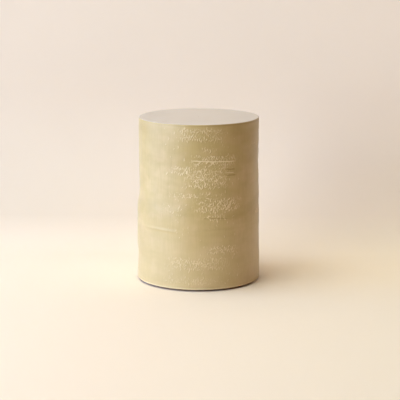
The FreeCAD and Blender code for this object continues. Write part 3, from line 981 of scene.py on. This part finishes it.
def stage_paint(name, left, right, at_floor=None):
    """Matt paint with faint clouds, painted a little paler to the viewer's right as painted light. It can't
    be seen from behind, and far from the stool, where the lights hardly reach, it is seen in one pale tone.
    at_floor gives the tones that it starts from at the floor."""
    material, tree, shader, place = new_material(name)
    clouds = noise(tree, place, 1.6, 3)
    across = add_node(tree, "ShaderNodeSeparateXYZ", links={0: place}).outputs["X"]
    drift = worked(tree, "ADD", across, worked(tree, "MULTIPLY", clouds, 0.3))
    share = remapped(tree, drift, -0.5, 0.9)
    tone = blended(tree, share, left, right)
    if at_floor:
        height = add_node(tree, "ShaderNodeSeparateXYZ", links={0: place}).outputs["Z"]
        risen = remapped(tree, height, 0.0, FLOOR_TONE_HEIGHT)
        tone = blended(tree, risen, blended(tree, share, *at_floor), tone)
    tree.links.new(tone, shader["Base Color"])
    tree.links.new(remapped(tree, clouds, 0.3, 0.7, 0.75, 0.85), shader["Roughness"])
    shader["Specular IOR Level"].default_value = 0.2
    behind = add_node(tree, "ShaderNodeNewGeometry").outputs["Backfacing"]
    front = tree.nodes["Principled BSDF"].outputs["BSDF"]
    back = add_node(tree, "ShaderNodeBsdfTransparent").outputs["BSDF"]
    distance = add_node(tree, "ShaderNodeVectorMath", links={0: place}, operation="LENGTH").outputs["Value"]
    seen = add_node(tree, "ShaderNodeLightPath").outputs["Is Camera Ray"]
    far = worked(tree, "MULTIPLY", remapped(tree, distance, FAR_START, FAR_END), seen)
    plain = add_node(tree, "ShaderNodeEmission", {"Color": FAR_TONE}).outputs["Emission"]
    front = add_node(tree, "ShaderNodeMixShader", links={0: far, 1: front, 2: plain}).outputs["Shader"]
    both = add_node(tree, "ShaderNodeMixShader", links={0: behind, 1: front, 2: back}).outputs["Shader"]
    tree.links.new(both, tree.nodes["Material Output"].inputs["Surface"])
    return material


# The floor's tones at the viewer's left and right: the right one paler, as painted light.
FLOOR_TONES = (colour(251, 235, 217), colour(255, 245, 226))
floor_paint = stage_paint("pale_floor_paint", *FLOOR_TONES)
# The floor is open inside the foot ring, where the drum hides it, so that light reaches the underside.
FLOOR_OPENING = ring_inside - mm(8)
FLOOR_LEVEL = mm(-0.1)
FLOOR_POINTS = 128
floor_rings = [ring(radius, FLOOR_LEVEL, FLOOR_POINTS) for radius in (FLOOR_HALF, FLOOR_OPENING)]
floor = turned_piece("floor", floor_rings, [floor_paint], closed=False)
# The wall's tones at the viewer's left and right: the right one paler, as painted light.
WALL_TONES = (colour(228, 213, 194), colour(255, 242, 226))
wall_paint = stage_paint("pale_wall_paint", *WALL_TONES, FLOOR_TONES)
# The bend starts a hair above the floor, so that the two never lie in one plane.
BEND_LEVEL = mm(0.2)
bend = [(BEND_START + BEND_RADIUS * math.sin(a), BEND_LEVEL + BEND_RADIUS * (1 - math.cos(a)))
        for a in np.radians(np.linspace(0, 90, 32))]
stage_sheet("backdrop", bend + [(BEND_START + BEND_RADIUS, WALL_HEIGHT)], wall_paint)

# LIGHT. Cool daylight from windows along the left and a warm bounced ceiling. The room gives little
# back, so the right side stays deep and warm.
AIM = Vector((0, 0, mm(200)))


def soft_light(name, azimuth, elevation, distance, width, height, power, tint):
    """A rectangular light aimed at the stool and not seen itself. Azimuth is in degrees from the
    front towards the viewer's right."""
    turn, lift = math.radians(azimuth), math.radians(elevation)
    away = Vector((math.sin(turn) * math.cos(lift), -math.cos(turn) * math.cos(lift), math.sin(lift)))
    data = bpy.data.lights.new(name, "AREA")
    data.shape = "RECTANGLE"
    data.size, data.size_y = width, height
    data.energy = power
    data.color = tint
    light = bpy.data.objects.new(name, data)
    light.location = AIM + away * distance
    light.rotation_euler = (-away).to_track_quat("-Z", "Y").to_euler()
    light.visible_camera = False
    bpy.context.scene.collection.objects.link(light)


soft_light("sky_on_the_left", -97, 12, 3.2, 1.0, 1.6, 32, (0.3, 0.54, 1.0))
soft_light("side_window", -80, 11, 4.6, 1.0, 2.0, 67, (0.34, 0.53, 1.0))
soft_light("front_window", -55, 12, 4.6, 2.8, 2.2, 153, (0.69, 0.79, 1.0))
soft_light("second_window", -35, 14, 4.8, 1.6, 2.2, 31, (0.8, 0.86, 0.7))
soft_light("ceiling", -59, 75, 4.55, 3.4, 3.4, 131, (1.0, 0.94, 0.76))
soft_light("warm_room", 60, 12, 4.8, 3.2, 2.0, 11, (1.0, 0.25, 0.04))

# Beyond the floor the camera sees plain pale paint. What light comes from below the floor reaches the
# drum's underside alone.
GLOW_TINT = (1.0, 0.9, 0.78, 1.0)
GLOW_ABOVE, GLOW_BELOW = 0.004, 0.9
world = bpy.data.worlds.new("room_light")
bpy.context.scene.world = world
world.use_nodes = True
tree = world.node_tree
seen = tree.nodes["Background"]
seen.inputs["Color"].default_value = FAR_TONE
facing = add_node(tree, "ShaderNodeTexCoord").outputs["Generated"]
below = add_node(tree, "ShaderNodeSeparateXYZ", links={0: facing}).outputs["Z"]
light_from_below = add_node(
    tree, "ShaderNodeBackground", {"Color": GLOW_TINT},
    {"Strength": remapped(tree, below, -0.02, -0.3, GLOW_ABOVE, GLOW_BELOW)},
)
chosen = add_node(tree, "ShaderNodeMixShader", links={
    0: add_node(tree, "ShaderNodeLightPath").outputs["Is Camera Ray"],
    1: light_from_below.outputs["Background"], 2: seen.outputs["Background"],
})
tree.links.new(chosen.outputs["Shader"], tree.nodes["World Output"].inputs["Surface"])

# CAMERA. About a metre up and four metres off, looking a little down through a long lens, a hair to
# the right of the drum's middle.
CAMERA_PLACE = (mm(3.6), mm(-3903.9), mm(1003.4))
CAMERA_TILT = 11.341
camera_data = bpy.data.cameras.new("camera")
camera_data.lens = 127.85
camera_data.sensor_width = 36
camera_data.clip_end = 100
camera = bpy.data.objects.new("camera", camera_data)
camera.location = CAMERA_PLACE
camera.rotation_euler = (math.radians(90 - CAMERA_TILT), 0, 0)
bpy.context.scene.collection.objects.link(camera)
bpy.context.scene.camera = camera
bpy.context.scene.view_settings.view_transform = "Standard"
